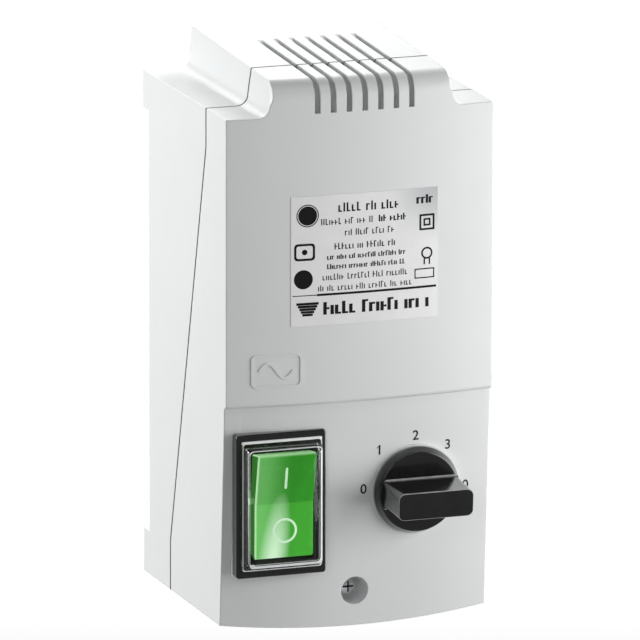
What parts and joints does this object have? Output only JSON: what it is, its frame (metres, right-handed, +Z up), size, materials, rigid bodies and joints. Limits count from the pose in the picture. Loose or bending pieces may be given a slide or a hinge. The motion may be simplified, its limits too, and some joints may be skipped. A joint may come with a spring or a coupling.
{
  "type": "wall-mounted stepped autotransformer",
  "caption": "Moulded wall box with a slotted hood, holding a tapped autotransformer, a lit rocker switch under a splash cap, and a bar knob that turns a rotary tap switch.",
  "frame": {"origin": "middle of the wall face, on the wall plane", "axes": "+Z up the wall, +Y out of the back into the wall, +X to the right as seen from the front"},
  "size_m": [0.11, 0.1234, 0.225],
  "materials": {
    "housing_plastic": "light grey moulded plastic, fine satin texture",
    "gasket_rubber": "matt black",
    "zinc_steel": "bright zinc plating",
    "label_film": "silver-grey printed film",
    "black_plastic": "satin black",
    "knob_plastic": "glossy black phenolic",
    "green_plastic": "glossy translucent green",
    "clear_plastic": "clear flexible moulding",
    "white_nylon": "natural nylon",
    "former_nylon": "glass-filled nylon",
    "phenolic": "brown phenolic paper",
    "brass_strip": "stamped strip",
    "copper_wire": "enamelled copper wire",
    "steel_laminations": "varnished silicon steel",
    "coil_tape": "yellow polyester tape",
    "lamp_glass": "clear neon capsule",
    "lead_white": "PVC insulation",
    "lead_yellow": "PVC insulation",
    "lead_orange": "PVC insulation",
    "lead_red": "PVC insulation",
    "lead_brown": "PVC insulation",
    "lead_black": "PVC insulation",
    "lead_blue": "PVC insulation",
    "lead_grey": "PVC insulation"
  },
  "bodies": {
    "housing": {"rear_base": "housing_plastic", "front_cover": "housing_plastic", "seam_gasket": "gasket_rubber", "cover_screw": "zinc_steel", "rating_label": "label_film", "cable_grommet_left": "gasket_rubber", "cable_grommet_right": "gasket_rubber", "core_stack": "steel_laminations", "coil_former": "former_nylon", "winding": "copper_wire", "coil_tape": "coil_tape", "thermal_cutout": "black_plastic", "core_screw_left_lower": "zinc_steel", "core_screw_left_upper": "zinc_steel", "core_screw_right_lower": "zinc_steel", "core_screw_right_upper": "zinc_steel", "terminal_block": "white_nylon", "terminal_screw_1": "zinc_steel", "terminal_screw_2": "zinc_steel", "terminal_screw_3": "zinc_steel", "terminal_screw_4": "zinc_steel", "switch_bezel": "black_plastic", "switch_body": "black_plastic", "switch_blade_neutral": "brass_strip", "switch_blade_common": "brass_strip", "switch_blade_load": "brass_strip", "switch_hood": "clear_plastic", "neon_lamp": "lamp_glass", "rotary_housing": "black_plastic", "rotary_wafer": "phenolic", "rotary_washer": "zinc_steel", "rotary_nut": "zinc_steel", "detent_spring": "zinc_steel", "tap_tag_1": "brass_strip", "tap_tag_2": "brass_strip", "tap_tag_3": "brass_strip", "tap_tag_4": "brass_strip", "tap_tag_5": "brass_strip", "common_tag": "brass_strip", "tap_lead_1": "lead_white", "tap_lead_2": "lead_yellow", "tap_lead_3": "lead_orange", "tap_lead_4": "lead_red", "tap_lead_5": "lead_brown", "supply_lead": "lead_brown", "live_lead": "lead_black", "neutral_lead": "lead_blue", "output_lead": "lead_grey"},
    "knob_body": {"knob": "knob_plastic", "rotary_shaft": "zinc_steel", "rotor_contact": "brass_strip", "detent_wheel": "white_nylon"},
    "rocker_body": {"rocker": "green_plastic", "rocker_plunger": "white_nylon", "plunger_spring": "zinc_steel"},
    "lever_body": {"contact_lever": "brass_strip"}
  },
  "joints": [
    {"name": "knob_turn", "type": "hinge", "parent": "housing", "child": "knob_body", "pos_m": [0.0235, -0.09989, -0.0513], "axis": [0, 0.998, 0.0628], "range_deg": [0, 180]},
    {"name": "rocker_tilt", "type": "hinge", "parent": "housing", "child": "rocker_body", "pos_m": [-0.033, -0.0975, -0.0517], "axis": [-1, 0, 0], "range_deg": [0, 12]},
    {"name": "contact_tilt", "type": "hinge", "parent": "housing", "child": "lever_body", "pos_m": [-0.033, -0.0835, -0.0517], "axis": [1, 0, 0], "range_deg": [0, 16]}
  ],
  "couplings": [
    {"joint": "contact_tilt", "follows": "rocker_tilt", "ratio": 1.3333}
  ]
}
